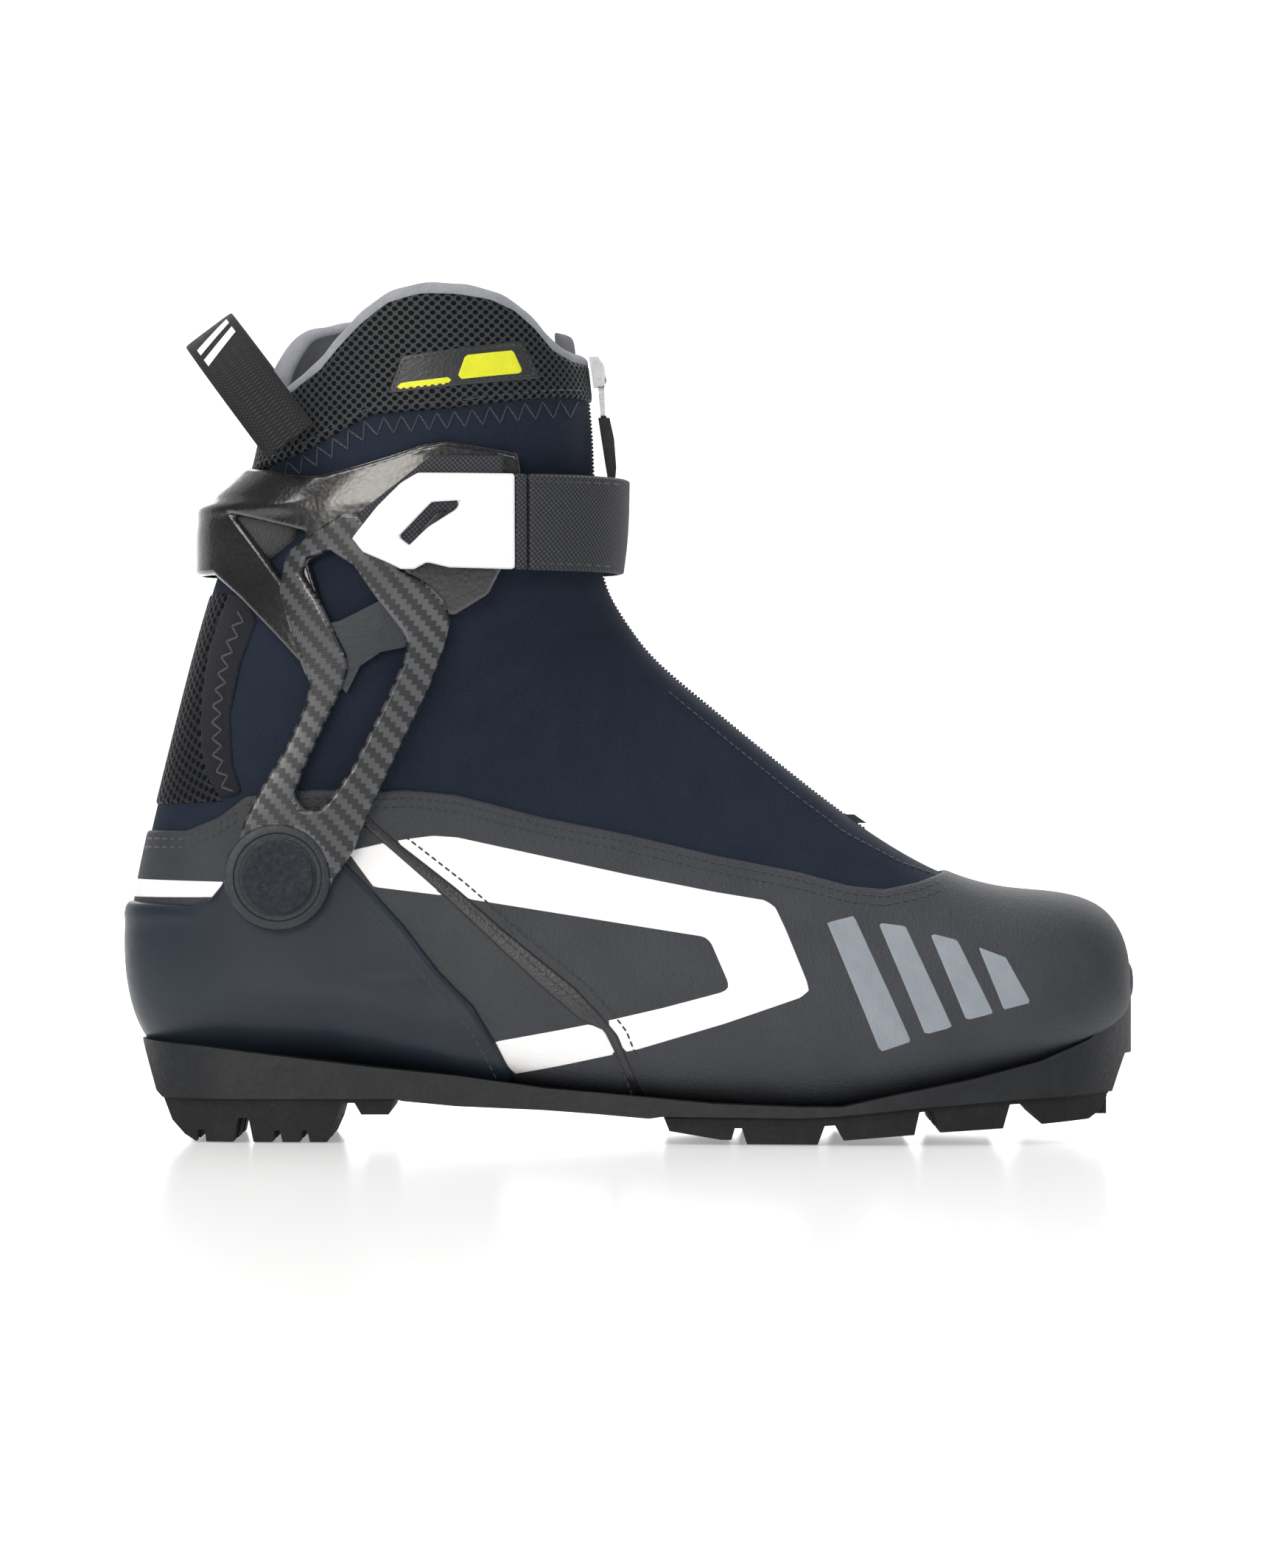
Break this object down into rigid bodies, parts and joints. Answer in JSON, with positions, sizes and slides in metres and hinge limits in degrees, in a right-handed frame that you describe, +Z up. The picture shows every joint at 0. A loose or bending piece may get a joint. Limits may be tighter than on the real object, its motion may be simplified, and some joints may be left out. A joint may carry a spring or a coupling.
{
  "type": "cross country skate ski boot",
  "caption": "Right high-cut skate ski boot with a hinged ankle cuff, a wrap strap, a front zip, a heel counter and a grooved sole with a toe bar.",
  "frame": {"origin": "on the ground, under the middle of the boot's length and width", "axes": "+X towards the toe, +Y towards the inner (medial) side, +Z up"},
  "size_m": [0.2993, 0.0979, 0.25],
  "materials": {
    "band_tpu": "matte",
    "board": "matte",
    "carbon_composite": "gloss",
    "counter_tpu": "satin",
    "cuff_plastic": "gloss",
    "fleece_lining": "matte",
    "footbed_foam": "matte",
    "grip_rubber": "matte",
    "label_tape": "satin",
    "mesh_fabric": "matte",
    "pad_foam": "matte",
    "softshell_fabric": "matte",
    "sole_plastic": "satin",
    "steel": "satin",
    "strap_fabric": "satin",
    "strap_print": "matte",
    "tread_rubber": "matte",
    "upper_synthetic": "matte",
    "webbing": "matte",
    "zip_plastic": "satin"
  },
  "bodies": {
    "boot": {"binding_bar": "steel", "binding_insert": "sole_plastic", "eyestay_lateral": "webbing", "eyestay_medial": "webbing", "footbed": "footbed_foam", "forefoot_tread": "tread_rubber", "heel_counter": "counter_tpu", "heel_stiffener": "board", "heel_tread": "tread_rubber", "lasting_board": "board", "lining_flex_lateral": "fleece_lining", "lining_flex_medial": "fleece_lining", "lining_foot_lateral": "fleece_lining", "lining_foot_medial": "fleece_lining", "lining_heel_flex": "fleece_lining", "midfoot_band_lateral": "band_tpu", "midfoot_band_medial": "band_tpu", "pivot_boss_lateral": "counter_tpu", "pivot_boss_medial": "counter_tpu", "pivot_cap_lateral": "cuff_plastic", "pivot_cap_medial": "cuff_plastic", "pivot_pin_lateral": "steel", "pivot_pin_medial": "steel", "softshell_flex_lateral": "softshell_fabric", "softshell_flex_medial": "softshell_fabric", "softshell_foot_lateral": "softshell_fabric", "softshell_foot_medial": "softshell_fabric", "softshell_heel_flex": "softshell_fabric", "sole_frame": "sole_plastic", "toe_bumper": "sole_plastic", "toe_puff": "board", "tongue": "fleece_lining", "upper_lateral": "upper_synthetic", "upper_medial": "upper_synthetic", "zip_stop": "steel", "zip_tape_lateral": "webbing", "zip_tape_medial": "webbing", "zip_teeth": "zip_plastic"},
    "cuff": {"anchor_pad": "webbing", "anchor_rivet_1": "steel", "anchor_rivet_2": "steel", "arm_lateral": "carbon_composite", "arm_medial": "carbon_composite", "arm_web_lateral": "cuff_plastic", "arm_web_medial": "cuff_plastic", "collar_label": "label_tape", "collar_lateral": "mesh_fabric", "collar_medial": "mesh_fabric", "cuff_ring": "cuff_plastic", "hook_pad": "webbing", "lining_shaft_lateral": "fleece_lining", "lining_shaft_medial": "fleece_lining", "pull_loop": "webbing", "ring_pad": "pad_foam", "softshell_shaft_lateral": "softshell_fabric", "softshell_shaft_medial": "softshell_fabric", "strap_anchor": "strap_fabric"},
    "strap": {"strap_band": "strap_fabric"},
    "strap_end": {"strap_tab": "strap_print"},
    "zip_slider_body": {"zip_slider": "steel"},
    "zip_puller": {"pull_plate": "steel", "pull_grip": "grip_rubber", "pull_cord": "webbing"}
  },
  "joints": [
    {"name": "cuff_flex", "type": "hinge", "parent": "boot", "child": "cuff", "pos_m": [-0.102, 0, 0.0775], "axis": [0, 1, 0], "range_deg": [-8, 15], "stiffness_Nm_per_rad": 20, "deforming": ["softshell_flex_lateral", "softshell_flex_medial", "softshell_heel_flex", "lining_flex_lateral", "lining_flex_medial", "lining_heel_flex", "tongue", "zip_teeth", "zip_tape_lateral", "zip_tape_medial"]},
    {"name": "strap_swing", "type": "hinge", "parent": "cuff", "child": "strap", "pos_m": [-0.026, 0.0407, 0.181], "axis": [0, 0, 1], "range_deg": [0, 70]},
    {"name": "strap_peel", "type": "hinge", "parent": "strap", "child": "strap_end", "pos_m": [-0.03, -0.0426, 0.181], "axis": [0, 0, 1], "range_deg": [0, 90]},
    {"name": "zip_slide", "type": "slide", "parent": "cuff", "child": "zip_slider_body", "axis": [0.09, 0, -0.9959], "range_m": [0, 0.012]},
    {"name": "zip_pull_swing", "type": "hinge", "parent": "zip_slider_body", "child": "zip_puller", "pos_m": [-0.0082, 0, 0.2246], "axis": [0, -1, 0], "range_deg": [0, 100]}
  ]
}
